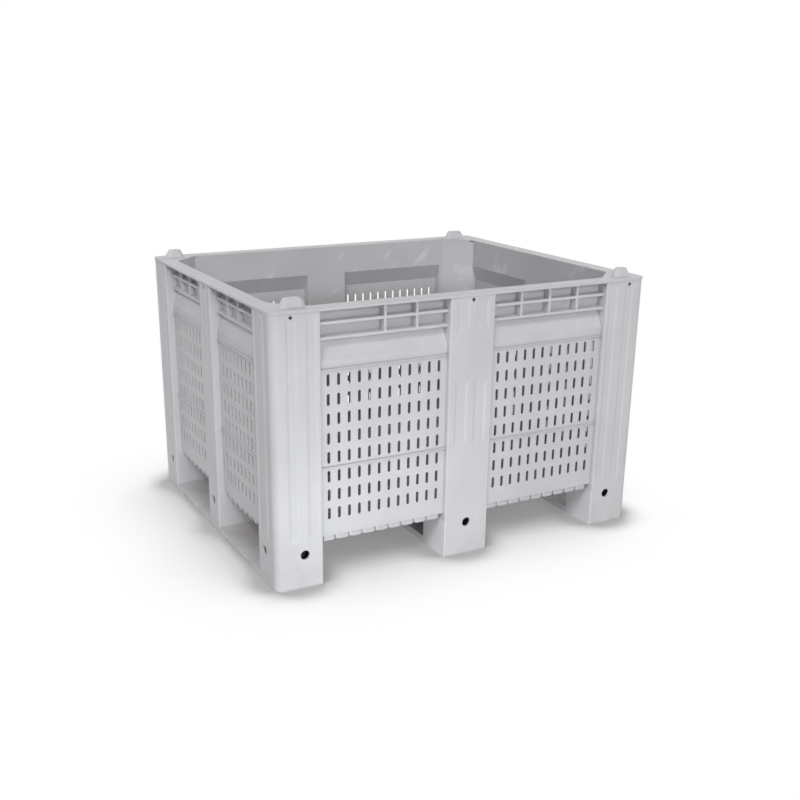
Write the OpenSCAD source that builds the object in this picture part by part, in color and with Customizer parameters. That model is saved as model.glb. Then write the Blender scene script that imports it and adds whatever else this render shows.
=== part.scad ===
// Fruit bin: a pallet-sized harvest bin with vented walls, built up from posts, panels, a floor and runners.
// Millimetres, +Z up. The origin is on the ground, under the middle of the bin.
// +X runs to the right along the front wall, and +Y from the front wall to the back wall.

/* [Bin] */
// Length of the bin, outside the left and right posts
bin_length = 1200; // [1100:5:1400]
// Width of the bin, outside the front and back posts
bin_width = 1000; // [900:5:1200]
// Height of the rim above the ground
rim_height = 772; // [640:1:900]
// Depth of a wall, from the posts' outer faces to the inside face
wall_depth = 45; // [40:0.5:55]
// Thickness of a panel's sheet
sheet = 5; // [4:0.25:7]
// Wall thickness of the hollow posts and legs
post_wall = 6; // [5:0.25:7]

/* [Posts] */
// Length of a corner post along the front and back walls
corner_post_length = 140; // [125:1:165]
// Width of a corner post along the side walls, and depth of the legs at the front and back
corner_post_width = 124; // [115:1:145]
// Radius of the bin's outer vertical corners
corner_radius = 24; // [14:1:30]
// Flat beside the slanted inside face of a corner post
corner_flat = 15; // [10:0.5:22]
// Rounding of the posts' upright edges beside the panels
post_edge = 4; // [2:0.25:5]
// Width of the posts in the middle of the front and back walls
long_post_width = 144; // [120:1:170]
// Width of the posts in the middle of the side walls
side_post_width = 86; // [76:1:110]

/* [Legs] */
// Height of the legs, up to the shoulder that carries the floor
leg_height = 122; // [105:1:140]
// Diameter of the large holes in the legs
leg_hole_d = 27; // [18:0.5:30]
// Height of the large holes above the ground
leg_hole_z = 98; // [60:1:100]
// Place of a corner leg's hole along the front and back walls, from the side face
leg_hole_x = 86; // [60:1:100]
// Place of a corner leg's hole along the side walls, from the front or back face
leg_hole_y = 81; // [60:1:90]
// Diameter of the screw bosses inside the legs
boss_d = 24; // [18:0.5:28]

/* [Flutes] */
// Depth of the shallow flutes in the posts
flute_depth = 2.5; // [1:0.25:3]
// Width of the slanted side of a flute
flute_side = 7; // [3:0.25:8]
// Length of the slanted end of a flute
flute_end = 20; // [6:0.5:24]
// Width of a flute in a corner post
corner_flute = 32; // [24:0.5:38]
// Width of a flute in the front and back posts
long_flute = 42; // [30:0.5:50]
// Width of a flute in the side posts
side_flute = 26; // [18:0.5:30]

/* [Panels] */
// Depth of the front and back panels behind the posts' outer faces
long_recess = 14; // [10:0.5:20]
// Depth of the side panels behind the posts' outer faces
side_recess = 24; // [16:0.5:28]
// How far a panel's tongue reaches into the groove of a post
tongue = 8; // [5:0.25:9]
// Width of a vent slot
slot_width = 8.5; // [5:0.25:11]
// Length of a vent slot, over its round ends
slot_length = 33; // [22:0.5:38]
// Distance between the columns of slots
slot_pitch = 30.6; // [24:0.1:40]
// Distance between the rows of slots
row_pitch = 53.8; // [44:0.1:66]
// Height of the lowest row of slots above the panel's lower edge
first_row = 58.5; // [40:0.5:80]
// Least distance from the first column of slots to the post
column_margin = 20; // [14:1:30]
// Least distance from the top row of slots to the slanted sheet
row_margin = 20; // [10:1:30]
// Rows of slots below the middle rib
rows_below_rib = 3; // [1:1:5]
// Gap between the top row of slots and the upper rib
rib_gap = 13; // [8:0.5:16]
// Height of the thin ribs across a panel
rib_height = 3; // [2:0.25:5]
// How far the thin ribs stand out of a panel
rib_depth = 6; // [2:0.25:8]
// Height of the slanted sheet below the pockets
slant_height = 52; // [40:1:70]
// How much lower the slanted sheet lies on its inside
slant_drop = 6; // [2:0.5:10]
// Height of a pocket in the top band
pocket_height = 32; // [22:0.5:38]
// Thickness of the shelves under the pockets
shelf = 8; // [5:0.25:11]
// Thickness of the upright ribs between the pockets
pocket_rib = 8; // [5:0.25:11]
// Pockets in a row of one panel
pocket_count = 4; // [2:2:6]

/* [Floor] */
// Depth of the floor, over its plate and its ribs
floor_depth = 19; // [15:0.5:26]
// Thickness of the floor plate
floor_plate = 7; // [5:0.25:9]
// Thickness of the ribs under the floor
floor_rib = 6; // [4:0.25:9]
// Distance between the teeth on the edge of the floor
tooth_pitch = 41.4; // [36:0.1:48]
// Width of a tooth
tooth_width = 33; // [24:0.5:34]
// How far a tooth reaches in under the floor
tooth_length = 22; // [20:0.5:30]
// Slanted lower edge of a tooth
tooth_bevel = 4; // [2:0.25:8]
// How far a tooth sits back behind the panel's face
tooth_inset = 8; // [1:0.25:10]
// How far a tooth hangs below the ribs of the floor
tooth_drop = 8; // [1:0.5:12]
// Rounding of a tooth's lower corners
tooth_round = 7; // [2:0.25:8]
// Height of the webs between the teeth, down from the floor's top
web_height = 18; // [9:0.5:18.5]
// Side of the square pads under the floor screws
screw_pad = 34; // [28:0.5:40]

/* [Runners] */
// Thickness of the runner planks
runner_height = 18; // [14:0.5:26]
// Rounding of a runner's ends, seen from above
runner_round = 10; // [4:0.5:14]

/* [Rim] */
// Thickness of the top rails and of the corner caps
rail_height = 8; // [6:0.25:12]
// How far the rim stands out past the posts
lip = 2; // [0.5:0.25:4]
// Bevel along the upper edges of the rim
rim_bevel = 2; // [0.5:0.25:3]
// Length of the half-lap between a rail and a corner cap
lap = 12; // [8:0.5:16]
// Length of the front right and back left pegs at the foot, along the front or back wall
peg_near_length = 62; // [50:1:66]
// Length of the front left and back right pegs at the foot
peg_far_length = 74; // [56:1:76]
// Breadth of a peg at the foot
peg_breadth = 36; // [28:1:38]
// Height of a stacking peg above the rim
peg_height = 24; // [12:0.5:26]
// How far each end of a peg leans in over its height
peg_taper = 12; // [4:0.5:14]
// How far the front and back of a peg lean in over its height
peg_lean = 5; // [3:0.5:8]
// Bevel on the upright corners of a peg, seen from above
peg_corner = 11; // [9:0.5:12]
// Place of the front left and back right pegs, from the side face
peg_far = 80; // [76:1:82]
// Place of the front right and back left pegs, from the side face
peg_near = 58; // [50:1:64]
// Place of a peg, from the front or back face
peg_depth = 45; // [40:1:46]
// Play of a peg in the socket of the bin above
peg_play = 1; // [0.5:0.25:2]

/* [Fasteners] */
// Diameter of the lock pins in the tops of the posts
pin_d = 11; // [8:0.25:12]
// Height of the lock pins below the rim
pin_drop = 18; // [15:0.5:24]
// Place of a corner post's lock pin, from the side face
pin_x = 57; // [50:1:66]
// Wall thickness of the lock pins, which are spring tubes
pin_wall = 1.5; // [1:0.25:2.5]
// Length of a lock pin
pin_length = 30; // [20:0.5:34]
// How far a lock pin sits back in its hole
pin_inset = 2; // [1:0.25:3]
// Diameter of the floor and runner screws
screw_d = 8; // [6:0.25:10]
// Diameter of the screws' countersunk heads
screw_head_d = 16; // [13:0.25:19]
// Length of the screws
screw_length = 50; // [38:1:55]

/* [Hidden] */
// Running clearance between pieces that slide together
fit = 0.3;
// Extra length of every cut, past the faces that it opens
overrun = 1;
// Depth of a screw's countersunk head
screw_head_h = (screw_head_d - screw_d) / 2;
// How far a screw head sits below the surface
head_sink = 0.8;
// Width and height of the tenons that the lock pins hold
tenon_width = 48;
tenon_height = 30;
// Flutes in the posts: their lower ends, upper ends and breaks, up from the ground or down from the rim
corner_flute_bottom = 136;
flute_top_drop = 11;
long_break_drop = 103;
long_lower_top = 530;
long_lower_bottom = 334;
side_flute_bottom = 508;
// Gap of a corner flute from the edge of its post
flute_edge = 10;
$fn = 48;

grey = [0.81, 0.82, 0.84];
shade_grey = [0.74, 0.75, 0.77];
steel = [0.60, 0.61, 0.63];

floor_top = leg_height + floor_depth;
rail_bottom = rim_height - rail_height;
band_bottom = rail_bottom - 2 * (pocket_height + shelf);
knee = band_bottom - slant_height;
deep = wall_depth - sheet;
groove = tongue + fit;
edge_wall = groove + post_wall;
pin_z = rim_height - pin_drop;

long_bay = bin_length / 2 - corner_post_length - long_post_width / 2;
side_bay = bin_width / 2 - corner_post_width - side_post_width / 2;

row_count = floor((knee - row_margin - floor_top - first_row - slot_length / 2) / row_pitch) + 1;
top_row = floor_top + first_row + (row_count - 1) * row_pitch;
upper_rib = top_row + slot_length / 2 + rib_gap;
middle_rib = floor_top + first_row + (rows_below_rib - 0.5) * row_pitch;

// Slanted inside face of a corner post, and the same line moved in by the wall thickness
slant_run = corner_post_length - corner_flat - wall_depth;
slant_rise = corner_post_width - wall_depth;
slant_length = norm([slant_run, slant_rise]);
slant_inset = [corner_post_length - corner_flat - post_wall * slant_rise / slant_length,
               wall_depth - post_wall * slant_run / slant_length];

// Screw bosses: distance from the two inner faces of a corner leg, and depth in the legs of each wall
boss_gap_share = 2 / 3;
boss_inset = post_wall + boss_gap_share * boss_d;
long_boss = (wall_depth + corner_post_width) / 2;
side_boss = (wall_depth + corner_post_length) / 2;

// Places

// Puts a piece at a corner of the bin. In the piece's own frame the outer corner is the origin,
// and x and y run inwards along the two outer faces.
module at_corner(side, end) {
    mirror([side > 0 ? 1 : 0, 0, 0])
        mirror([0, end > 0 ? 1 : 0, 0])
            translate([-bin_length / 2, -bin_width / 2, 0])
                children();
}

// Puts a piece on a wall. In the piece's own frame x runs along the wall from its middle,
// y is the depth behind the posts' outer faces, and z is up.
module on_wall(wall) {
    if (wall == "front") translate([0, -bin_width / 2, 0]) children();
    if (wall == "back") mirror([0, 1, 0]) translate([0, -bin_width / 2, 0]) children();
    if (wall == "left") translate([-bin_length / 2, 0, 0]) rotate([0, 0, -90]) children();
    if (wall == "right") mirror([1, 0, 0]) translate([-bin_length / 2, 0, 0]) rotate([0, 0, -90]) children();
}

// Puts a piece of one bay on a wall, with x = 0 at the middle post. half is 1 or -1.
module in_bay(wall, half) {
    on_wall(wall)
        mirror([half > 0 ? 0 : 1, 0, 0])
            translate([post_width(wall) / 2, 0, 0])
                children();
}

function is_long(wall) = wall == "front" || wall == "back";
function post_width(wall) = is_long(wall) ? long_post_width : side_post_width;
function bay(wall) = is_long(wall) ? long_bay : side_bay;
function recess(wall) = is_long(wall) ? long_recess : side_recess;
function leg_depth(wall) = is_long(wall) ? corner_post_width : corner_post_length;
function boss_depth(wall) = is_long(wall) ? long_boss : side_boss;
function wall_length(wall) = is_long(wall) ? bin_length : bin_width;
function corner_size(wall) = is_long(wall) ? corner_post_length : corner_post_width;
function peg_place(side, end) = side == end ? peg_far : peg_near;
function peg_foot(side, end) = side == end ? peg_far_length : peg_near_length;
function tooth_count(wall) = floor(bay(wall) / tooth_pitch);
function tooth_place(wall, i) = bay(wall) / 2 + (i - (tooth_count(wall) - 1) / 2) * tooth_pitch;

WALLS = ["front", "back", "left", "right"];
ENDS = [-1, 1];

// Shapes that several pieces share

// What a rounded corner takes off a square one
module corner_trim(radius) {
    difference() {
        translate([-overrun, -overrun]) square(radius + overrun);
        translate([radius, radius]) circle(radius);
    }
}

// Plan of a corner post above its leg
module corner_plan() {
    difference() {
        polygon([[0, 0], [corner_post_length, 0], [corner_post_length, wall_depth],
                 [corner_post_length - corner_flat, wall_depth], [wall_depth, corner_post_width],
                 [0, corner_post_width]]);
        corner_trims();
    }
}

// Rounded outer corner of a corner post, and its rounded edges beside the panels
module corner_trims() {
    corner_trim(corner_radius);
    translate([corner_post_length, 0]) mirror([1, 0]) corner_trim(post_edge);
    translate([0, corner_post_width]) mirror([0, 1]) corner_trim(post_edge);
}

// Plan of the hollow inside a corner post
module corner_hollow() {
    end_x = corner_post_length - edge_wall;
    end_y = corner_post_width - edge_wall;
    slope = slant_rise / slant_run;
    difference() {
        polygon([[post_wall, post_wall], [end_x, post_wall],
                 [end_x, slant_inset.y + (slant_inset.x - end_x) * slope],
                 [slant_inset.x - (end_y - slant_inset.y) / slope, end_y],
                 [post_wall, end_y]]);
        translate([post_wall, post_wall]) corner_trim(corner_radius - post_wall);
    }
}

// Cut for a shallow flute in the face y = 0, around x = 0, with slanted sides and ends
module flute(width, bottom, top) {
    intersection() {
        translate([0, 0, bottom])
            linear_extrude(top - bottom)
                polygon([[-width / 2, -overrun], [width / 2, -overrun], [width / 2, 0],
                         [width / 2 - flute_side, flute_depth], [flute_side - width / 2, flute_depth],
                         [-width / 2, 0]]);
        translate([-width / 2, 0, 0])
            along_wall(width)
                polygon([[-overrun, bottom], [0, bottom], [flute_depth, bottom + flute_end],
                         [flute_depth, top - flute_end], [0, top], [-overrun, top]]);
    }
}

// Cut for a round hole through the face y = 0
module face_hole(x, z, diameter) {
    translate([x, -overrun, z])
        rotate([-90, 0, 0])
            cylinder(d = diameter, h = post_wall + 2 * overrun);
}

// Cut for the tongue of a panel in the side of a post, at x = 0 and running to -x
module groove_cut(depth) {
    translate([-groove, depth - fit, floor_top])
        cube([groove + overrun, sheet + 2 * fit, knee + fit - floor_top]);
}

// Boss in a hollow leg, from the runner up to the shoulder, and the bore for its screws
module boss() {
    translate([0, 0, runner_height]) cylinder(d = boss_d, h = leg_height - runner_height);
}

module boss_bore() {
    translate([0, 0, runner_height - overrun])
        cylinder(d = screw_d + fit, h = leg_height - runner_height + 2 * overrun);
}

// Countersunk hole from z = 0 upwards
module countersink(length) {
    translate([0, 0, -overrun]) cylinder(d = screw_d + fit, h = length + 2 * overrun);
    translate([0, 0, -overrun]) cylinder(d = screw_head_d + fit, h = head_sink + overrun);
    translate([0, 0, head_sink]) cylinder(d1 = screw_head_d + fit, d2 = screw_d + fit, h = screw_head_h);
}

module screw() {
    translate([0, 0, head_sink]) cylinder(d1 = screw_head_d, d2 = screw_d, h = screw_head_h);
    translate([0, 0, head_sink + screw_head_h]) cylinder(d = screw_d, h = screw_length - screw_head_h);
}

// A vent slot with round ends, upright in the plane of the sheet
module slot() {
    straight = slot_length - slot_width;
    square([slot_width, straight], center = true);
    for (end = ENDS) translate([0, end * straight / 2]) circle(d = slot_width);
}

// A profile drawn as depth and height, drawn out along the wall from x = 0
module along_wall(length) {
    rotate([90, 0, 90]) linear_extrude(length) children();
}

// Places of the screws that hold the floor to the legs and the legs to the runners
module at_bosses() {
    for (side = ENDS, end = ENDS)
        at_corner(side, end)
            translate([corner_post_length - boss_inset, corner_post_width - boss_inset, 0])
                children();
    for (wall = WALLS)
        on_wall(wall)
            translate([0, boss_depth(wall), 0])
                children();
    children();
}

// Floor

// Moulded floor: a plate with drain slots, ribs under it, and a row of teeth along every bay
module floor_deck() {
    color(grey)
    difference() {
        union() {
            translate([0, 0, floor_top - floor_plate]) linear_extrude(floor_plate) floor_plan();
            for (wall = WALLS, half = ENDS) in_bay(wall, half) floor_teeth(wall);
            floor_ribs();
            at_bosses()
                translate([-screw_pad / 2, -screw_pad / 2, leg_height])
                    cube([screw_pad, screw_pad, floor_depth - floor_plate]);
        }
        at_bosses() translate([0, 0, floor_top]) mirror([0, 0, 1]) countersink(floor_depth);
    }
}

module floor_plan() {
    difference() {
        square([bin_length - 2 * side_recess, bin_width - 2 * long_recess], center = true);
        for (side = ENDS, end = ENDS)
            at_corner(side, end)
                polygon([[-overrun, -overrun], [corner_post_length + fit, -overrun],
                         [corner_post_length + fit, wall_depth + fit],
                         [corner_post_length - corner_flat + fit, wall_depth + fit],
                         [wall_depth + fit, corner_post_width + fit], [-overrun, corner_post_width + fit]]);
        for (wall = WALLS)
            on_wall(wall)
                translate([-post_width(wall) / 2 - fit, -overrun])
                    square([post_width(wall) + 2 * fit, wall_depth + fit + overrun]);
        for (side = ENDS, end = ENDS) drain_slots(side, end);
    }
}

// Drain slots over a quarter of the floor, in line with the gaps between the teeth
module drain_slots(side, end) {
    for (i = [0 : tooth_count("front") - 2], j = [0 : tooth_count("left") - 2])
        translate([side * (long_post_width / 2 + tooth_place("front", i) + tooth_pitch / 2),
                   end * (side_post_width / 2 + tooth_place("left", j) + tooth_pitch / 2)])
            slot();
}

// Teeth along the edge of the floor in one bay, and a web between each two of them
module floor_teeth(wall) {
    gap = tooth_pitch - tooth_width;
    for (i = [0 : tooth_count(wall) - 1])
        translate([tooth_place(wall, i), recess(wall), leg_height - tooth_drop]) tooth();
    for (i = [0 : tooth_count(wall) - 2])
        translate([tooth_place(wall, i) + tooth_width / 2, recess(wall), leg_height + floor_depth - web_height])
            cube([gap, tooth_length, web_height - floor_plate]);
}

// One tooth, around x = 0, with its front face set back, its lower edge slanted and its corners rounded
module tooth() {
    top = tooth_drop + floor_depth - floor_plate;
    intersection() {
        translate([-tooth_width / 2, 0, 0])
            along_wall(tooth_width)
                polygon([[tooth_inset, top], [tooth_inset, tooth_bevel],
                         [tooth_inset + tooth_bevel, 0], [tooth_length, 0], [tooth_length, top]]);
        translate([0, tooth_length, 0])
            rotate([90, 0, 0])
                linear_extrude(tooth_length)
                    difference() {
                        translate([-tooth_width / 2, 0]) square([tooth_width, top]);
                        for (side = ENDS)
                            mirror([side > 0 ? 1 : 0, 0])
                                translate([-tooth_width / 2, 0])
                                    corner_trim(tooth_round);
                    }
    }
}

// Ribs under the floor, from every second tooth to the one across the bin
module floor_ribs() {
    rib_length_y = bin_width - 2 * (long_recess + tooth_length);
    rib_length_x = bin_length - 2 * (side_recess + tooth_length);
    translate([0, 0, leg_height])
        linear_extrude(floor_depth - floor_plate) {
            for (side = ENDS, i = [0 : 2 : tooth_count("front") - 1])
                translate([side * (long_post_width / 2 + tooth_place("front", i)), 0])
                    square([floor_rib, rib_length_y], center = true);
            for (end = ENDS, j = [0 : 2 : tooth_count("left") - 1])
                translate([0, end * (side_post_width / 2 + tooth_place("left", j))])
                    square([rib_length_x, floor_rib], center = true);
        }
}

// Runners and legs

// Plank along the ground from the front legs to the back legs. It lies in the hollow feet of the legs,
// and is as wide as they are between them.
module runner(side) {
    width = side == 0 ? long_post_width : corner_post_length;
    middle = side * (bin_length - corner_post_length) / 2;
    color(grey)
    difference() {
        translate([middle, 0, 0])
            linear_extrude(runner_height) {
                runner_plan(width - 2 * post_wall - 2 * fit, bin_width - 2 * post_wall - 2 * fit);
                for (end = ENDS)
                    translate([0, end * (side_post_width + side_bay) / 2])
                        square([width, side_bay - 2 * fit], center = true);
            }
        at_bosses() countersink(runner_height);
        if (side != 0)
            for (end = ENDS)
                at_corner(side, end)
                    translate([peg_place(side, end), peg_depth, -overrun])
                        linear_extrude(runner_height + 2 * overrun)
                            peg_plan(peg_foot(side, end) + 2 * peg_play, peg_breadth + 2 * peg_play);
    }
}

// Plan of a stacking peg's foot, and of the sockets in the runners for the pegs of the bin below
module peg_plan(length, breadth) {
    intersection() {
        square([length, breadth], center = true);
        rotate(45) square(sqrt(2) * ((length + breadth) / 2 - peg_corner), center = true);
    }
}

module runner_plan(width, length) {
    difference() {
        square([width, length], center = true);
        for (side = ENDS, end = ENDS)
            mirror([side > 0 ? 1 : 0, 0])
                mirror([0, end > 0 ? 1 : 0])
                    translate([-width / 2, -length / 2])
                        corner_trim(runner_round);
    }
}

// Foot under the middle of the floor, over the middle runner
module centre_foot() {
    color(shade_grey)
    difference() {
        union() {
            difference() {
                translate([-long_post_width / 2, -side_post_width / 2, 0])
                    cube([long_post_width, side_post_width, leg_height]);
                translate([post_wall - long_post_width / 2, post_wall - side_post_width / 2, -overrun])
                    cube([long_post_width - 2 * post_wall, side_post_width - 2 * post_wall,
                          leg_height - post_wall + overrun]);
            }
            boss();
        }
        boss_bore();
        translate([post_wall - long_post_width / 2, -side_post_width / 2 - overrun, -overrun])
            cube([long_post_width - 2 * post_wall, side_post_width + 2 * overrun, runner_height + overrun]);
    }
}

// Posts

// Hollow corner post and leg in one piece, with a rounded outer corner, flutes on both outer faces
// and a groove on each side for the tongue of a panel
module corner_post(side, end) {
    color(grey)
    at_corner(side, end)
    difference() {
        union() {
            difference() {
                union() {
                    linear_extrude(rail_bottom) corner_plan();
                    linear_extrude(leg_height) corner_leg_plan();
                }
                corner_leg_hollow();
            }
            corner_boss() boss();
        }
        translate([0, 0, leg_height]) linear_extrude(rail_bottom - leg_height + overrun) corner_hollow();
        translate([0, 0, -overrun]) linear_extrude(leg_height + 2 * overrun) corner_foot_hollow();
        corner_boss() boss_bore();
        translate([corner_post_length, 0, 0]) groove_cut(long_recess);
        turn_face() translate([corner_post_width, 0, 0]) groove_cut(side_recess);
        corner_flutes(pin_x, corner_post_length);
        turn_face() corner_flutes(corner_radius + corner_flute / 2, corner_post_width);
        face_hole(leg_hole_x, leg_hole_z, leg_hole_d);
        turn_face() face_hole(leg_hole_y, leg_hole_z, leg_hole_d);
        face_hole(pin_x, pin_z, pin_d + fit);
        translate([post_wall, corner_post_width - post_wall - overrun, -overrun])
            cube([corner_post_length - 2 * post_wall, post_wall + 2 * overrun, runner_height + overrun]);
    }
}

// Swaps the two outer faces of a corner
module turn_face() {
    mirror([1, -1, 0]) children();
}

module corner_boss() {
    translate([corner_post_length - boss_inset, corner_post_width - boss_inset, 0]) children();
}

module corner_leg_plan() {
    difference() {
        square([corner_post_length, corner_post_width]);
        corner_trims();
    }
}

// Hollow of a corner leg, under its shoulder
module corner_leg_hollow() {
    translate([0, 0, -overrun])
        linear_extrude(leg_height - post_wall + overrun)
            corner_foot_inside();
}

module corner_foot_inside() {
    difference() {
        translate([post_wall, post_wall])
            square([corner_post_length - 2 * post_wall, corner_post_width - 2 * post_wall]);
        translate([post_wall, post_wall]) corner_trim(corner_radius - post_wall);
    }
}

// The post's own hollow, carried down through the shoulder of the leg
module corner_foot_hollow() {
    intersection() {
        corner_hollow();
        corner_foot_inside();
    }
}

// Two flutes in an outer face, the first one beside the rounded corner's end or around the lock pin
module corner_flutes(first, face_width) {
    for (x = [first, face_width - flute_edge - corner_flute / 2])
        translate([x, 0, 0])
            flute(corner_flute, corner_flute_bottom, rim_height - flute_top_drop);
}

// Hollow post and leg in the middle of a wall, with two flutes and a groove on each side
module mid_post(wall) {
    width = post_width(wall);
    color(grey)
    on_wall(wall)
    difference() {
        union() {
            difference() {
                union() {
                    linear_extrude(rail_bottom) mid_plan(width, wall_depth);
                    linear_extrude(leg_height) mid_plan(width, leg_depth(wall));
                }
                translate([post_wall - width / 2, post_wall, -overrun])
                    cube([width - 2 * post_wall, leg_depth(wall) - 2 * post_wall,
                          leg_height - post_wall + overrun]);
            }
            translate([0, boss_depth(wall), 0]) boss();
        }
        translate([edge_wall - width / 2, post_wall, -overrun])
            cube([width - 2 * edge_wall, wall_depth - 2 * post_wall, rail_bottom + 2 * overrun]);
        translate([0, boss_depth(wall), 0]) boss_bore();
        for (half = ENDS)
            mirror([half > 0 ? 0 : 1, 0, 0])
                translate([width / 2, 0, 0])
                    groove_cut(recess(wall));
        mid_flutes(wall);
        face_hole(0, leg_hole_z, leg_hole_d);
        face_hole(0, pin_z, pin_d + fit);
        runner_gate(wall);
    }
}

module mid_plan(width, depth) {
    difference() {
        translate([-width / 2, 0]) square([width, depth]);
        for (half = ENDS)
            mirror([half > 0 ? 1 : 0, 0])
                translate([-width / 2, 0])
                    corner_trim(post_edge);
    }
}

// Way for the runner through the foot of a leg
module runner_gate(wall) {
    width = post_width(wall);
    if (is_long(wall))
        translate([post_wall - width / 2, leg_depth(wall) - post_wall - overrun, -overrun])
            cube([width - 2 * post_wall, post_wall + 2 * overrun, runner_height + overrun]);
    else
        translate([-width / 2 - overrun, post_wall, -overrun])
            cube([width + 2 * overrun, leg_depth(wall) - 2 * post_wall, runner_height + overrun]);
}

module mid_flutes(wall) {
    width = is_long(wall) ? long_flute : side_flute;
    gap = (post_width(wall) - 2 * width) / 3;
    for (half = ENDS)
        translate([half * (width + gap) / 2, 0, 0])
            if (is_long(wall)) {
                flute(width, rim_height - long_break_drop, rim_height - flute_top_drop);
                flute(width, long_lower_bottom, long_lower_top);
            } else {
                flute(width, side_flute_bottom, rim_height - flute_top_drop);
            }
}

// Panels

// Vented panel of one bay: a slotted sheet with a tongue on each side, a slanted sheet above it,
// and a top band with two rows of pockets. A wide pocket takes the place of the two at the corner.
module panel(wall, half, wide_pocket = false) {
    width = bay(wall);
    depth = recess(wall);
    color(grey)
    in_bay(wall, half) {
        translate([0, depth + sheet, 0])
            rotate([90, 0, 0])
                linear_extrude(sheet)
                    slotted_sheet(width);
        along_wall(width)
            polygon([[depth, knee - slant_drop], [depth, knee], [deep, band_bottom], [deep, rail_bottom],
                     [wall_depth, rail_bottom], [wall_depth, band_bottom - slant_drop],
                     [depth + sheet, knee - slant_drop]]);
        for (row = [0, 1])
            translate([0, depth, band_bottom + row * (pocket_height + shelf)])
                cube([width, deep - depth, shelf]);
        for (i = [1 : pocket_count - (wide_pocket ? 2 : 1)])
            translate([i * width / pocket_count - pocket_rib / 2, depth, band_bottom])
                cube([pocket_rib, deep - depth, rail_bottom - band_bottom]);
        for (z = [middle_rib, upper_rib])
            translate([0, depth - rib_depth, z - rib_height / 2])
                cube([width, rib_depth, rib_height]);
    }
}

module slotted_sheet(width) {
    columns = floor((width - 2 * column_margin) / slot_pitch) + 1;
    difference() {
        translate([-tongue, floor_top]) square([width + 2 * tongue, knee - floor_top]);
        for (i = [0 : columns - 1], j = [0 : row_count - 1])
            translate([width / 2 + (i - (columns - 1) / 2) * slot_pitch, floor_top + first_row + j * row_pitch])
                slot();
    }
}

// Rim

// Rail over two panels and a middle post. Its ends are lapped under the corner caps,
// and a tenon below it drops into the hollow post.
module top_rail(wall) {
    length = wall_length(wall) - 2 * corner_size(wall);
    color(grey)
    on_wall(wall)
    difference() {
        union() {
            translate([-length / 2, 0, 0]) along_wall(length) rail_profile();
            translate([-length / 2 - lap, long_recess, rail_bottom])
                cube([length + 2 * lap, wall_depth - long_recess, rail_height / 2]);
            translate([-tenon_width / 2, post_wall + fit, rail_bottom - tenon_height])
                cube([tenon_width, wall_depth - 2 * post_wall - 2 * fit, tenon_height + overrun]);
        }
        pin_bore();
    }
}

module rail_profile() {
    polygon([[-lip, rail_bottom], [-lip, rim_height - rim_bevel], [rim_bevel - lip, rim_height],
             [wall_depth - rim_bevel, rim_height], [wall_depth, rim_height - rim_bevel],
             [wall_depth, rail_bottom]]);
}

// Bore for a lock pin, through a tenon
module pin_bore() {
    translate([0, 0, pin_z])
        rotate([-90, 0, 0])
            cylinder(d = pin_d + fit, h = wall_depth);
}

// Cap on a corner post, with a stacking peg above and a tenon below
module stacking_cap(side, end) {
    color(grey)
    at_corner(side, end)
    difference() {
        union() {
            translate([0, 0, rail_bottom]) linear_extrude(rail_height) cap_plan();
            translate([pin_x - tenon_width / 2, post_wall + fit, rail_bottom - tenon_height])
                cube([tenon_width, wall_depth - 2 * post_wall - 2 * fit, tenon_height + overrun]);
            translate([peg_place(side, end), peg_depth, rim_height - overrun])
                stacking_peg(peg_foot(side, end));
        }
        translate([pin_x, 0, 0]) pin_bore();
        lap_cut(corner_post_length);
        turn_face() lap_cut(corner_post_width);
    }
}

// Plan of a cap: the post's plan, with its outer faces moved out to the lip
module cap_plan() {
    difference() {
        polygon([[-lip, -lip], [corner_post_length, -lip], [corner_post_length, wall_depth],
                 [corner_post_length - corner_flat, wall_depth], [wall_depth, corner_post_width],
                 [-lip, corner_post_width]]);
        translate([-lip, -lip]) corner_trim(corner_radius + lip);
    }
}

// Rebate under the edge of a cap for the end of a rail
module lap_cut(face_width) {
    translate([face_width - lap - fit, long_recess - fit, rail_bottom - overrun])
        cube([lap + fit + overrun, wall_depth, rail_height / 2 + overrun]);
}

// Truncated pyramid with bevelled corners, around the origin, and standing an overrun deep in the cap
module stacking_peg(length) {
    across = sqrt(2) * ((length + peg_breadth) / 2 - peg_corner);
    intersection() {
        peg_wedge(length, peg_taper, 2 * length);
        rotate([0, 0, 90]) peg_wedge(peg_breadth, peg_lean, 2 * length);
        rotate([0, 0, 45]) peg_wedge(across, (peg_taper + peg_lean) / sqrt(2), 2 * length);
        rotate([0, 0, 135]) peg_wedge(across, (peg_taper + peg_lean) / sqrt(2), 2 * length);
    }
}

// Prism along y with sides that lean in
module peg_wedge(width, lean, length) {
    rotate([90, 0, 0])
        linear_extrude(length, center = true)
            polygon([[-width / 2, 0], [width / 2, 0], [width / 2, overrun],
                     [width / 2 - lean, overrun + peg_height], [lean - width / 2, overrun + peg_height],
                     [-width / 2, overrun]]);
}

// Fasteners

// Pins that hold the tenons of the rails and caps in the posts
module lock_pins() {
    color(shade_grey) {
        for (wall = WALLS) on_wall(wall) lock_pin();
        for (side = ENDS, end = ENDS) at_corner(side, end) translate([pin_x, 0, 0]) lock_pin();
    }
}

module lock_pin() {
    translate([0, pin_inset, pin_z])
        rotate([-90, 0, 0])
            linear_extrude(pin_length)
                difference() {
                    circle(d = pin_d);
                    circle(d = pin_d - 2 * pin_wall);
                }
}

// Countersunk screws down through the floor into the bosses of the legs
module floor_screws() {
    color(steel) at_bosses() translate([0, 0, floor_top]) mirror([0, 0, 1]) screw();
}

// Countersunk screws up through the runners into the bosses of the legs
module runner_screws() {
    color(steel) at_bosses() screw();
}

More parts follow.
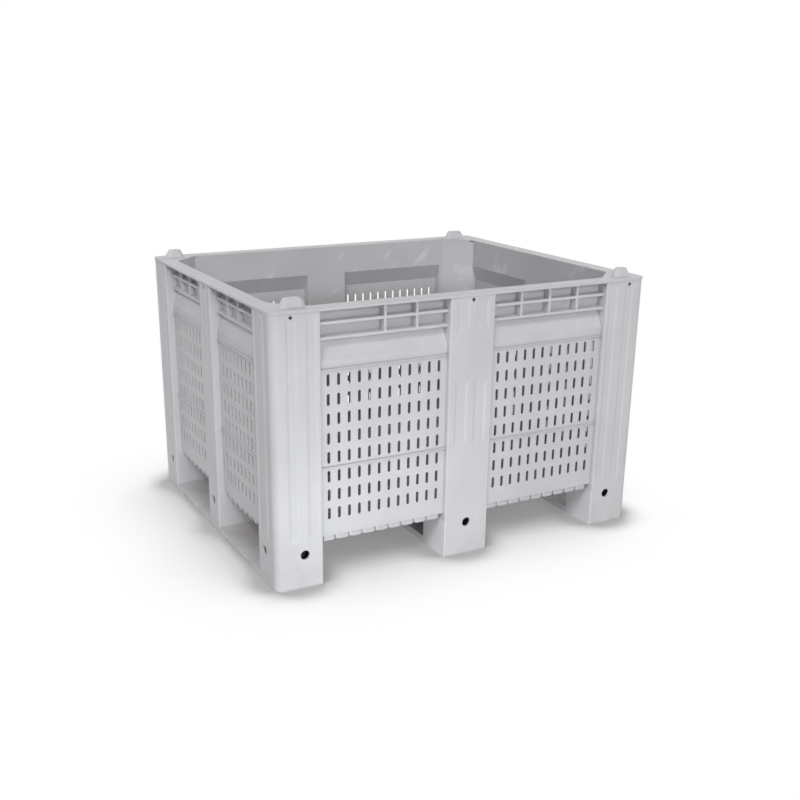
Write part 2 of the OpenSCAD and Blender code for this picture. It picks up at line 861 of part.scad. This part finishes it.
floor_deck();
centre_foot();
runner(-1);  // runner_left
runner(0);  // runner_middle
runner(1);  // runner_right
corner_post(-1, -1);  // corner_post_front_left
corner_post(1, -1);  // corner_post_front_right
corner_post(-1, 1);  // corner_post_back_left
corner_post(1, 1);  // corner_post_back_right
mid_post("front");  // mid_post_front
mid_post("back");  // mid_post_back
mid_post("left");  // mid_post_left
mid_post("right");  // mid_post_right
panel("front", -1, true);  // panel_front_left
panel("front", 1);  // panel_front_right
panel("back", -1);  // panel_back_left
panel("back", 1);  // panel_back_right
panel("left", 1, true);  // panel_left_front
panel("left", -1);  // panel_left_back
panel("right", 1);  // panel_right_front
panel("right", -1);  // panel_right_back
top_rail("front");  // top_rail_front
top_rail("back");  // top_rail_back
top_rail("left");  // top_rail_left
top_rail("right");  // top_rail_right
stacking_cap(-1, -1);  // stacking_cap_front_left
stacking_cap(1, -1);  // stacking_cap_front_right
stacking_cap(-1, 1);  // stacking_cap_back_left
stacking_cap(1, 1);  // stacking_cap_back_right
lock_pins();
floor_screws();
runner_screws();
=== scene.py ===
from math import cos, radians, sin

import bpy
from mathutils import Matrix, Vector

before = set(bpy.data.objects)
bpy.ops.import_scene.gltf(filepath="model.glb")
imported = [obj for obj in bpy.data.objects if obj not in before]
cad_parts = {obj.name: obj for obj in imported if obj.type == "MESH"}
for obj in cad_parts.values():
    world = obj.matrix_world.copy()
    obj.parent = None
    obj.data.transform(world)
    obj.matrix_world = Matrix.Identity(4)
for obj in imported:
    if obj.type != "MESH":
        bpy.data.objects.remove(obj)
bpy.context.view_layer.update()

# Runner planks: three flat boards that lie on the ground from the front legs to the back legs.
# They are moulded in light grey polyethylene and screwed up into the legs. The ground scrapes
# them along their length, so they carry the most scratches and soil of the whole bin.


class Shade:
    """One socket of a finish. Sums and products of shades add Math nodes to the finish."""

    def __init__(self, tree, socket):
        self.tree = tree
        self.socket = socket

    def node(self, kind, settings, inputs, output=0):
        """Adds a node: its settings first, then the values or links of its sockets."""
        made = self.tree.nodes.new("ShaderNode" + kind)
        for name, value in settings.items():
            setattr(made, name, value)
        for name, value in inputs.items():
            if isinstance(value, Shade):
                self.tree.links.new(value.socket, made.inputs[name])
            else:
                made.inputs[name].default_value = value
        return Shade(self.tree, made.outputs[output]) if made.outputs else None

    def math(self, operation, first, second):
        return self.node("Math", {"operation": operation}, {0: first, 1: second})

    def __add__(self, other):
        return self.math("ADD", self, other)

    def __sub__(self, other):
        return self.math("SUBTRACT", self, other)

    def __rsub__(self, other):
        return self.math("SUBTRACT", other, self)

    def __mul__(self, other):
        return self.math("MULTIPLY", self, other)

    __radd__ = __add__
    __rmul__ = __mul__

    def along(self, axis):
        """How far a place or a direction goes along one axis."""
        return self.node("SeparateXYZ", {}, {"Vector": self}, axis)

    def away(self, axis):
        """How far a place or a direction goes along one axis, to either side alike."""
        return self.math("ABSOLUTE", self.along(axis), 0.0)

    def fade(self, low, high):
        """0 where the shade is below low, 1 above high, and smooth between them."""
        settings = {"interpolation_type": "SMOOTHSTEP"}
        return self.node("MapRange", settings, {"Value": self, "From Min": low, "From Max": high})

    def below(self, low, high):
        """1 where the shade is below low, 0 above high, and smooth between them."""
        return 1 - self.fade(low, high)

    def between(self, first, second):
        """The first colour where the shade is 0, and the second where it is 1."""
        return self.node("Mix", {"data_type": "RGBA"}, {0: self, 6: first, 7: second}, 2)

    def noise(self, size, detail, stretch=(1, 1, 1), lean=(0, 0, 0)):
        """Noise on a place, in spots of that size in metres, drawn out along each axis by stretch, and
        then leaning over by an angle about each axis."""
        scale = [size * share for share in stretch]
        turned = {"Vector": self, "Scale": scale, "Rotation": lean}
        spots = self.node("Mapping", {"vector_type": "TEXTURE"}, turned)
        return self.node("TexNoise", {}, {"Vector": spots, "Scale": 1.0, "Detail": detail})

    def marks(self, size, detail, start, full, stretch=(1, 1, 1), lean=(0, 0, 0)):
        """Noise that only shows above the value start, and in full above the value full."""
        return self.noise(size, detail, stretch, lean).fade(start, full)

    def cloud(self, size, detail, least, spread):
        """Noise that is never less than a share, and spreads above it."""
        return least + self.noise(size, detail) * spread


def start_finish(name):
    """A new material with an empty tree, and the place on the piece that its patterns are laid by."""
    finish = bpy.data.materials.new(name)
    finish.use_nodes = True
    tree = finish.node_tree
    tree.nodes.clear()
    place = tree.nodes.new("ShaderNodeTexCoord")
    return finish, Shade(tree, place.outputs["Object"])


def close_finish(place, base, roughness, relief, fixed, edges=None):
    """Joins colour, roughness and relief in a shader. Fixed inputs are the same all over the piece."""
    bump = {"Strength": 1.0, "Distance": 1.0, "Height": relief}
    if edges is not None:
        bump["Normal"] = edges
    normal = place.node("Bump", {}, bump)
    surface = {"Base Color": base, "Roughness": roughness, "Normal": normal, **fixed}
    place.node("OutputMaterial", {}, {"Surface": place.node("BsdfPrincipled", {}, surface)})


def tinted(colour, share=1):
    """A colour as a socket takes it, made lighter or darker by a share."""
    return (*(part * share for part in colour), 1)


# The plastic and what the mould leaves on it, in metres and in shares. Noise has the size of its spots
# and its detail, and marks also have the values of the noise where they start and where they are full.
BIN_GREY = (0.618, 0.615, 0.632)
PLASTIC_IOR = 1.5
SATIN = 0.44
EDGE_ROUND = 0.0016
EDGE_SAMPLES = 6
MOTTLE = (0.16, 3)
MOTTLE_FADE = (0.3, 0.7)
MOTTLE_DARK = 0.965
MOTTLE_PALE = 1.025
MOTTLE_DULLS = 0.08
GRAIN = (0.0012, 2)
GRAIN_DEPTH = 0.00006
GRAIN_DULLS = 0.1
WAVES = (0.05, 1)
WAVE_DEPTH = 0.00022
STREAKS = (0.007, 2, 0.5, 0.78)
STREAK_SHARE = 0.3
STREAK_PALE = 1.09

# Wear and dirt that any piece of the bin can have, and painted shade in its inner corners and creases; the
# pale worn grey also serves painted light under the bin.
PALE_WEAR_AND_LIGHT_GREY = (0.74, 0.74, 0.755)
FIELD_SOIL = (0.30, 0.265, 0.225)
FACING_UP = (0.7, 0.95)
HAIRLINES = (0.0035, 2, 0.6, 0.68)
HAIRLINE_STRETCH = (34, 34, 1)
HAIRLINE_DEPTH = 0.00003
HAIRLINE_DULLS = 0.12
SCRATCHED_PATCHES = (0.11, 3, 0.5, 0.66)
EDGE_TURN = (0.02, 0.22)
EDGE_WEAR = (0.03, 3, 0.35, 0.6)
EDGE_SHINES = 0.06
CORNER_SHADE_REACH = 0.012
CORNER_SHADE_SAMPLES = 6
CORNER_SHADE_FADE = (0.3, 0.8)
CORNER_SHADE_SHARE = 0.5
CORNER_SHADE_DARK = 0.4
SPECKS = (0.004, 2, 0.68, 0.74)
SPECK_SHARE = 0.12
DUST = (0.08, 4, 0.3, 0.75)
DUST_SHARE = 0.07
DUST_DULLS = 0.1
LOW_SOIL = (0.045, 4, 0.42, 0.7)


def moulded_finish(name, flow, scratch, wear, soil_height, soil, layers):
    """Satin polyethylene out of a steel mould: a fine grain, slow waves where thick and thin walls
    cooled, streaks along the flow of the melt, scratches, pale worn edges, painted shade in the inner
    corners, dust on what faces up, specks and soil low down. Each layer is a function that adds one more
    mark to the colour: some are traces of use, some are painted light and shade."""
    finish, place = start_finish(name)
    facing = place.node("NewGeometry", {}, {}, "Normal")
    rounded = place.node("Bevel", {"samples": EDGE_SAMPLES}, {"Radius": EDGE_ROUND})
    straight = place.node("VectorMath", {"operation": "DOT_PRODUCT"}, {0: facing, 1: rounded}, "Value")
    open_air = place.node("AmbientOcclusion", {"samples": CORNER_SHADE_SAMPLES}, {"Distance": CORNER_SHADE_REACH}, "AO")

    mottle = place.noise(*MOTTLE)
    grain = place.noise(*GRAIN)
    wave = place.noise(*WAVES)
    streak = place.marks(*STREAKS, flow)
    hairlines = place.marks(*HAIRLINES, HAIRLINE_STRETCH) * place.marks(*SCRATCHED_PATCHES)
    edge = (1 - straight).fade(*EDGE_TURN) * place.marks(*EDGE_WEAR)
    speck = place.marks(*SPECKS)
    dust = facing.along("Z").fade(*FACING_UP) * place.marks(*DUST)
    low = place.along("Z").below(0.0, soil_height) * place.marks(*LOW_SOIL)

    base = mottle.fade(*MOTTLE_FADE).between(tinted(BIN_GREY, MOTTLE_DARK), tinted(BIN_GREY, MOTTLE_PALE))
    base = (streak * STREAK_SHARE).between(base, tinted(BIN_GREY, STREAK_PALE))
    base = (hairlines * scratch).between(base, tinted(PALE_WEAR_AND_LIGHT_GREY))
    base = (edge * wear).between(base, tinted(PALE_WEAR_AND_LIGHT_GREY))
    # Painted shade: inner corners and creases are darkened where the surface is closed in and little light
    # reaches.
    base = (open_air.below(*CORNER_SHADE_FADE) * CORNER_SHADE_SHARE).between(base, tinted(BIN_GREY, CORNER_SHADE_DARK))
    base = (speck * SPECK_SHARE).between(base, tinted(FIELD_SOIL))
    base = (dust * DUST_SHARE).between(base, tinted(FIELD_SOIL))
    base = (low * soil).between(base, tinted(FIELD_SOIL))
    for layer in layers:
        base = layer(place, facing, base)

    roughness = SATIN + grain * GRAIN_DULLS + mottle * MOTTLE_DULLS + hairlines * HAIRLINE_DULLS
    roughness = roughness + dust * DUST_DULLS - edge * EDGE_SHINES
    relief = grain * GRAIN_DEPTH + wave * WAVE_DEPTH - hairlines * HAIRLINE_DEPTH
    close_finish(place, base, roughness, relief, {"IOR": PLASTIC_IOR}, rounded)
    return finish


# Painted shade under the bin, on the tops of the runners and whatever else faces up near the ground.
UNDER_BIN_SHADE_GREY = (0.46, 0.45, 0.44)
UNDER_SHADE_HEIGHT = (0.05, 0.06)
UNDER_SHADE_CLOUD = (0.02, 4, 0.6, 0.7)
UNDER_BIN = (0.5, 0.6)


def under_bin_shade(place, facing, base):
    """Painted shade on what faces up close to the ground, under the bin, where the bin keeps the light off.
    """
    under_shade = place.away("X").below(*UNDER_BIN) * facing.along("Z").fade(*FACING_UP)
    under_shade = under_shade * place.along("Z").below(*UNDER_SHADE_HEIGHT)
    return (under_shade * place.cloud(*UNDER_SHADE_CLOUD)).between(base, tinted(UNDER_BIN_SHADE_GREY))


# Painted light under the bin: low sides there are made paler, standing in for light bounced off the floor.
FACING_ACROSS = (0.6, 0.9)
BOUNCE_HEIGHT = (0.1, 0.12)
BOUNCE_CLOUD = (0.03, 3, 0.75, 0.8)
BOUNCE_PALE = 1.08


def under_bin_bounce_light(place, facing, base):
    """Painted light: under the bin, sides that stand across its length are made paler low down, as light
    bounced from the floor would make them.
    """
    bounce = facing.away("X").fade(*FACING_ACROSS) * place.along("Z").below(*BOUNCE_HEIGHT)
    bounce = bounce * place.away("X").below(*UNDER_BIN)
    return (bounce * place.cloud(*BOUNCE_CLOUD)).between(base, tinted(PALE_WEAR_AND_LIGHT_GREY, BOUNCE_PALE))


def dress(finish, *names):
    """Gives CAD nodes their finish."""
    for name in names:
        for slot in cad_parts[name].material_slots:
            slot.material = finish


RUNNERS = ["runner_left", "runner_middle", "runner_right"]
# Painted shade darkens the runner tops under the bin, and painted light makes their low sides there paler.
runner_grey = moulded_finish("runner_grey", flow=(1, 60, 1), scratch=0.45, wear=0.4,
                             soil_height=0.05, soil=0.3, layers=(under_bin_shade, under_bin_bounce_light))
dress(runner_grey, *RUNNERS)

# Centre foot: a ribbed block under the middle of the floor that stands on the middle runner.
# It is moulded like the runners, with the same painted shade and light under the bin, and only shows from
# below, where soil from the ground gathers.
foot_grey = moulded_finish("foot_grey", flow=(1, 1, 40), scratch=0.2, wear=0.25,
                           soil_height=0.12, soil=0.25, layers=(under_bin_shade, under_bin_bounce_light))
dress(foot_grey, "centre_foot")

# Corner posts: hollow posts, each with its leg in one moulding, fluted on both outer faces.
# The melt runs up the long post, so the faint streaks stand upright. Painted light makes the low sides of
# the legs paler under the bin, and painted shade darkens the inner faces low down; bags leave pale rubs on
# them near the rim.
INNER_HALF = (0.555, 0.455)
SHEET_HALF = (0.571, 0.481)
SHEET_TOP = 0.6255
DECK_TOP = 0.141
FACE_MARGIN = (0.0002, 0.0012)
HEIGHT_MARGIN = 0.001


def within_walls(place, half):
    """1 within half a length and half a width from the middle of the bin, from the top of the deck up."""
    mask = place.along("Z").fade(DECK_TOP - HEIGHT_MARGIN, DECK_TOP)
    for axis, reach in zip("XY", half):
        mask = mask * place.away(axis).below(*(reach + margin for margin in FACE_MARGIN))
    return mask


# Painted shade inside the bin: the deck and the inner faces are darkened low down, and so are the walls of
# the slots.
PAINTED_SHADE_DARK = (0.11, 0.105, 0.1)
INNER_SHADE_HEIGHT = (0.42, 0.66)
INNER_SHADE_CLOUD = (0.12, 4, 0.6, 0.6)
INNER_SHADE_SHARE = 0.95


def inner_depth_shade(place, facing, base):
    """Painted shade on the deck and the inner faces of the walls, darkest low down and fading out upwards.
    The slotted sheets lie farther out than the rest of the inner faces, so they have their own reach."""
    height = place.along("Z")
    sheets = within_walls(place, SHEET_HALF) * height.below(SHEET_TOP - HEIGHT_MARGIN, SHEET_TOP)
    inner_shade = place.math("MAXIMUM", within_walls(place, INNER_HALF), sheets) * height.below(*INNER_SHADE_HEIGHT)
    return (inner_shade * place.cloud(*INNER_SHADE_CLOUD) * INNER_SHADE_SHARE).between(base, tinted(PAINTED_SHADE_DARK))


BAG_RUBS = (0.03, 3, 0.58, 0.64)
RUB_STRETCH = (1, 1, 5)
RUB_LEAN = 0.7
RUB_PATCHES = (0.16, 2, 0.47, 0.56)
RUB_HEIGHT = (0.5, 0.62)
RUB_OUTSIDE = 0.15
RUB_MORE_INSIDE = 0.7
RUB_PALE = 1.02


def bag_rubs(place, facing, base):
    """Pale slanting rubs of bags and crates on the upper part of the walls, faint on the outside."""
    long_rub = place.marks(*BAG_RUBS, RUB_STRETCH, (0, RUB_LEAN, 0)) * facing.away("Y").fade(*FACING_ACROSS)
    side_rub = place.marks(*BAG_RUBS, RUB_STRETCH, (RUB_LEAN, 0, 0)) * facing.away("X").fade(*FACING_ACROSS)
    rubs = (long_rub + side_rub) * place.marks(*RUB_PATCHES) * place.along("Z").fade(*RUB_HEIGHT)
    share = RUB_OUTSIDE + within_walls(place, INNER_HALF) * RUB_MORE_INSIDE
    return (rubs * share).between(base, tinted(PALE_WEAR_AND_LIGHT_GREY, RUB_PALE))


CORNERS = ["front_left", "front_right", "back_left", "back_right"]
CORNER_POSTS = ["corner_post_" + corner for corner in CORNERS]
corner_post_grey = moulded_finish("corner_post_grey", flow=(1, 1, 55), scratch=0.16, wear=0.34,
                                  soil_height=0.11, soil=0.16, layers=(inner_depth_shade, bag_rubs, under_bin_bounce_light))
dress(corner_post_grey, *CORNER_POSTS)

# Middle posts: a wide one in the front and back walls, and a narrow one in the side walls.
# They are moulded and fluted like the corner posts, and their legs stand on the runners.
MID_POSTS = ["mid_post_" + wall for wall in ("front", "back", "left", "right")]
mid_post_grey = moulded_finish("mid_post_grey", flow=(1, 1, 55), scratch=0.18, wear=0.34,
                               soil_height=0.11, soil=0.16, layers=(inner_depth_shade, bag_rubs, under_bin_bounce_light))
dress(mid_post_grey, *MID_POSTS)

# Runner screws and floor screws: zinc plated steel screws with wide countersunk heads.
# The runner screws go up into the bosses of the legs, and the floor screws down into them.
ZINC = (0.56, 0.57, 0.585)
ZINC_SHADOW = (0.36, 0.36, 0.37)
ZINC_ROUGHNESS = 0.28
ZINC_CLOUD = (0.006, 3)
ZINC_CLOUD_FADE = (0.35, 0.65)
ZINC_CLOUD_DARK = 0.9
ZINC_CLOUD_PALE = 1.06
TURNING_RINGS = (0.0004, 2)
RING_STRETCH = (1, 1, 12)
RING_DEPTH = 0.00003
RING_DULLS = 0.12
DULL_SPOTS = (0.0025, 4, 0.55, 0.7)
DULL_SHARE = 0.5
DULL_DULLS = 0.25


def zinc_finish(name):
    """Zinc plate over turned steel: fine turning rings, cloudy plating and a few dull spots."""
    finish, place = start_finish(name)
    rings = place.noise(*TURNING_RINGS, RING_STRETCH)
    plating = place.noise(*ZINC_CLOUD).fade(*ZINC_CLOUD_FADE)
    dull = place.marks(*DULL_SPOTS)
    base = plating.between(tinted(ZINC, ZINC_CLOUD_DARK), tinted(ZINC, ZINC_CLOUD_PALE))
    base = (dull * DULL_SHARE).between(base, tinted(ZINC_SHADOW))
    roughness = ZINC_ROUGHNESS + rings * RING_DULLS + dull * DULL_DULLS
    close_finish(place, base, roughness, rings * RING_DEPTH, {"Metallic": 1.0})
    return finish


dress(zinc_finish("screw_zinc"), "runner_screws", "floor_screws")

# Floor deck: one ribbed moulding with drain slots, whose edge stands out as a row of teeth.
# It rests on the legs and the centre foot, and its slots drain it. Painted shade darkens its top.
deck_grey = moulded_finish("deck_grey", flow=(40, 1, 1), scratch=0.3, wear=0.28,
                           soil_height=0.16, soil=0.1, layers=(inner_depth_shade, under_bin_bounce_light))
dress(deck_grey, "floor_deck")

# Wall panels: eight slotted sheets with a pocketed band under the rim, two to each wall.
# Their tongues slide down into the grooves of the posts, and the melt fills them sideways.
# Painted shade darkens the walls of the slots in the long walls.
SLOT_WALL = (0.4812, 0.4858)
SLOT_MARGIN = 0.0002
SLOT_TOP = 0.6
SLOT_SHADE_SHARE = 0.75


def slot_wall_shade(place, facing, base):
    """Painted shade between the two faces of the slotted sheets, on the walls of their slots."""
    outer, inner = max(SLOT_WALL), min(SLOT_WALL)
    outward = place.away("Y")
    slot_shade = outward.fade(inner, inner + SLOT_MARGIN) * outward.below(outer - SLOT_MARGIN, outer)
    slot_shade = slot_shade * place.along("Z").below(SLOT_TOP - HEIGHT_MARGIN, SLOT_TOP)
    return (slot_shade * SLOT_SHADE_SHARE).between(base, tinted(PAINTED_SHADE_DARK))


LONG_PANELS = ["panel_" + wall + "_" + half for wall in ("front", "back") for half in ("left", "right")]
SIDE_PANELS = ["panel_" + wall + "_" + half for wall in ("left", "right") for half in ("front", "back")]
long_panel_grey = moulded_finish("long_panel_grey", flow=(45, 1, 1), scratch=0.2, wear=0.3, soil_height=0.2,
                                 soil=0.06, layers=(inner_depth_shade, slot_wall_shade, bag_rubs, under_bin_bounce_light))
side_panel_grey = moulded_finish("side_panel_grey", flow=(1, 45, 1), scratch=0.2, wear=0.3, soil_height=0.2,
                                 soil=0.06, layers=(inner_depth_shade, bag_rubs, under_bin_bounce_light))
dress(long_panel_grey, *LONG_PANELS)
dress(side_panel_grey, *SIDE_PANELS)

# Top rails: the four straight lengths of the rim, which lie over the panels and middle posts.
# Stacked bins and picking bags rub along them, so they are scratched and worn pale.
long_rail_grey = moulded_finish("long_rail_grey", flow=(50, 1, 1), scratch=0.3, wear=0.4,
                                soil_height=0.01, soil=0, layers=(bag_rubs,))
side_rail_grey = moulded_finish("side_rail_grey", flow=(1, 50, 1), scratch=0.3, wear=0.4,
                                soil_height=0.01, soil=0, layers=(bag_rubs,))
dress(long_rail_grey, "top_rail_front", "top_rail_back")
dress(side_rail_grey, "top_rail_left", "top_rail_right")

# Stacking caps: the corners of the rim, each with a hollow peg for a socket in the next bin's runner.
# They lap over the rails and are pinned to the posts. The pegs are rubbed on every stacking.
STACKING_CAPS = ["stacking_cap_" + corner for corner in CORNERS]
cap_grey = moulded_finish("cap_grey", flow=(1, 1, 8), scratch=0.3, wear=0.45,
                          soil_height=0.01, soil=0, layers=(bag_rubs,))
dress(cap_grey, *STACKING_CAPS)

# Lock pins: rolled tubes of plain spring steel, pressed through the top of each post into the
# cap or the rail behind it. Only their dull ends show, deep in the small holes.
PIN_STEEL = (0.36, 0.36, 0.365)
PIN_BARE = (0.42, 0.42, 0.43)
PIN_ROUGHNESS = 0.5
PIN_METALLIC = 0.9
DRAWN_LINES = (0.0006, 2)
DRAWN_STRETCH = (1, 25, 1)
DRAWN_FADE = (0.3, 0.7)
DRAWN_DARK = 0.8
DRAWN_PALE = 1.3
DRAWN_DEPTH = 0.00003
DRAWN_DULLS = 0.15
BARE_SPOTS = (0.003, 3, 0.58, 0.72)
BARE_SHARE = 0.6
BARE_SHINES = 0.18


def spring_steel_finish(name):
    """Dull oiled spring steel: drawn lines along the tube, rubbed brighter in places."""
    finish, place = start_finish(name)
    drawn = place.noise(*DRAWN_LINES, DRAWN_STRETCH)
    rubbed = place.marks(*BARE_SPOTS)
    base = drawn.fade(*DRAWN_FADE).between(tinted(PIN_STEEL, DRAWN_DARK), tinted(PIN_STEEL, DRAWN_PALE))
    base = (rubbed * BARE_SHARE).between(base, tinted(PIN_BARE))
    roughness = PIN_ROUGHNESS + drawn * DRAWN_DULLS - rubbed * BARE_SHINES
    close_finish(place, base, roughness, drawn * DRAWN_DEPTH, {"Metallic": PIN_METALLIC})
    return finish


dress(spring_steel_finish("pin_steel"), "lock_pins")

# Studio floor: a plain pale sweep under the bin. The camera sees it white, with the real shadow of the
# lamps in part, and it darkens softly where the bin keeps the light of the room off it.
FLOOR_REACH = 14.0
FLOOR_PALE = (0.7, 0.7, 0.7, 1)
FLOOR_WHITE = (1, 1, 1, 1)
SHADE_GLOW = 0.34
GLOW_SHARE = 0.5
SHADOW_SAMPLES = 16
SHADOW_REACH = 0.45
SHADOW_FADE = (0.1, 0.97)
SHADOW_LEAN = {"X": 0.18, "Y": -0.16, "Z": 0.97}
CONTACT_REACH = 0.11
CONTACT_FADE = (0.65, 1.0)

bpy.ops.mesh.primitive_plane_add(size=2 * FLOOR_REACH)
studio_floor = bpy.context.object
studio_floor.name = "studio_floor"
floor_finish, floor_place = start_finish("floor_pale")


def seen_ray(shade):
    """1 for the rays that show the background: the camera's own, and those that a surface mirrors."""
    camera_ray = shade.node("LightPath", {}, {}, "Is Camera Ray")
    return shade.math("MAXIMUM", camera_ray, shade.node("LightPath", {}, {}, "Is Glossy Ray"))


def open_room(reach, fade):
    """1 where the floor is open to the room, and 0 where the bin shuts it off within reach."""
    return floor_place.node("AmbientOcclusion", {"samples": SHADOW_SAMPLES}, reach, "AO").fade(*fade)


floor_lit = floor_place.node("BsdfDiffuse", {}, {"Color": FLOOR_PALE})
floor_glow = floor_place.node("Emission", {}, {"Color": FLOOR_WHITE, "Strength": SHADE_GLOW})
floor_shade = floor_place.node("MixShader", {}, {0: GLOW_SHARE, 1: floor_lit, 2: floor_glow})
floor_white = floor_place.node("Emission", {}, {"Color": FLOOR_WHITE, "Strength": 1.0})
shadow_way = floor_place.node("CombineXYZ", {}, SHADOW_LEAN)
wide_room = open_room({"Distance": SHADOW_REACH, "Normal": shadow_way}, SHADOW_FADE)
near_room = open_room({"Distance": CONTACT_REACH}, CONTACT_FADE)
floor_shown = floor_place.node("MixShader", {}, {0: wide_room * near_room, 1: floor_shade, 2: floor_white})
floor_mix = floor_place.node("MixShader", {}, {0: seen_ray(floor_place), 1: floor_lit, 2: floor_shown})
floor_place.node("OutputMaterial", {}, {"Surface": floor_mix})
studio_floor.data.materials.append(floor_finish)

# Studio light: six wide soft lights far away, of which one is low in front, two are on the left, a weak
# one is low on the right, and two stand high behind the bin. A small lamp stands near the floor in front.
# The room itself gives little light, and shows white behind the bin.
ROOM_WHITE = (1, 1, 1, 1)
ROOM_GLOW = 0.03
FRONT_TINT = (0.95, 0.995, 1.0)
SIDE_TINT = (1.0, 0.957, 0.975)
FOOT_LAMP_PLACE = Vector((-0.42, -1.05, 0.08))
FOOT_LAMP_AIM = Vector((-0.42, -0.5, 0.14))
FOOT_LAMP_SIZE = (0.6, 0.4)
FOOT_LAMP_POWER = 1.65

room_world = bpy.data.worlds.new("studio_room")
room_world.use_nodes = True
room_tree = room_world.node_tree
room_tree.nodes.clear()
room_way = Shade(room_tree, room_tree.nodes.new("ShaderNodeTexCoord").outputs["Generated"])
seen = seen_ray(room_way)
room_strength = seen + (1 - seen) * ROOM_GLOW
room_light = room_way.node("Background", {}, {"Color": ROOM_WHITE, "Strength": room_strength})
room_way.node("OutputWorld", {}, {"Surface": room_light})
bpy.context.scene.world = room_world


def far_light(name, turn, rise, spread, strength, tint):
    """A soft light so far off that it falls evenly. Its turn is from the front to the left, in degrees."""
    data = bpy.data.lights.new(name, "SUN")
    data.angle = radians(spread)
    data.energy = strength
    data.color = tint
    lamp = bpy.data.objects.new(name, data)
    lamp.rotation_euler = (radians(90 - rise), 0, -radians(turn))
    bpy.context.scene.collection.objects.link(lamp)


far_light("front_light", turn=9, rise=17, spread=20, strength=1.11, tint=FRONT_TINT)
far_light("high_left_light", turn=45, rise=45, spread=19.7, strength=1.1, tint=SIDE_TINT)
far_light("left_light", turn=72.5, rise=28, spread=24, strength=0.34, tint=SIDE_TINT)
far_light("right_light", turn=-70, rise=3.5, spread=18.9, strength=0.42, tint=SIDE_TINT)
far_light("back_light", turn=170, rise=38, spread=30, strength=0.85, tint=FRONT_TINT)
far_light("back_right_light", turn=-120, rise=30, spread=30, strength=0.65, tint=FRONT_TINT)

foot_data = bpy.data.lights.new("foot_lamp", "AREA")
foot_data.shape = "RECTANGLE"
foot_data.size, foot_data.size_y = FOOT_LAMP_SIZE
foot_data.energy = FOOT_LAMP_POWER
foot_data.color = FRONT_TINT
foot_lamp = bpy.data.objects.new("foot_lamp", foot_data)
foot_lamp.location = FOOT_LAMP_PLACE
foot_lamp.rotation_euler = (FOOT_LAMP_AIM - FOOT_LAMP_PLACE).to_track_quat("-Z", "Y").to_euler()
foot_lamp.visible_camera = False
bpy.context.scene.collection.objects.link(foot_lamp)

# Camera: stands in front of the left corner, a little above the rim, as in the photograph.
# Its place, turn and lens were fitted to the bin's corners, edges and holes in the photograph.
CAMERA_PLACE = Vector((-1.5614, -2.9109, 1.3117))
CAMERA_TURN = radians(27.63)
CAMERA_DIP = radians(19.18)
CAMERA_ROLL = radians(0.344)
CAMERA_SENSOR = 36
CAMERA_LENS = 47.62
CAMERA_SHIFT = (0.0301, 0.0633)

ahead = Vector((sin(CAMERA_TURN) * cos(CAMERA_DIP), cos(CAMERA_TURN) * cos(CAMERA_DIP), -sin(CAMERA_DIP)))
level = Vector((cos(CAMERA_TURN), -sin(CAMERA_TURN), 0))
across = level * cos(CAMERA_ROLL) + level.cross(ahead) * sin(CAMERA_ROLL)
camera_axes = Matrix((across, across.cross(ahead), -ahead)).transposed()
camera_data = bpy.data.cameras.new("camera")
camera_data.sensor_width = CAMERA_SENSOR
camera_data.lens = CAMERA_LENS
camera_data.shift_x, camera_data.shift_y = CAMERA_SHIFT
camera = bpy.data.objects.new("camera", camera_data)
camera.matrix_world = Matrix.Translation(CAMERA_PLACE) @ camera_axes.to_4x4()
bpy.context.scene.collection.objects.link(camera)
bpy.context.scene.camera = camera
bpy.context.scene.view_settings.view_transform = "Standard"
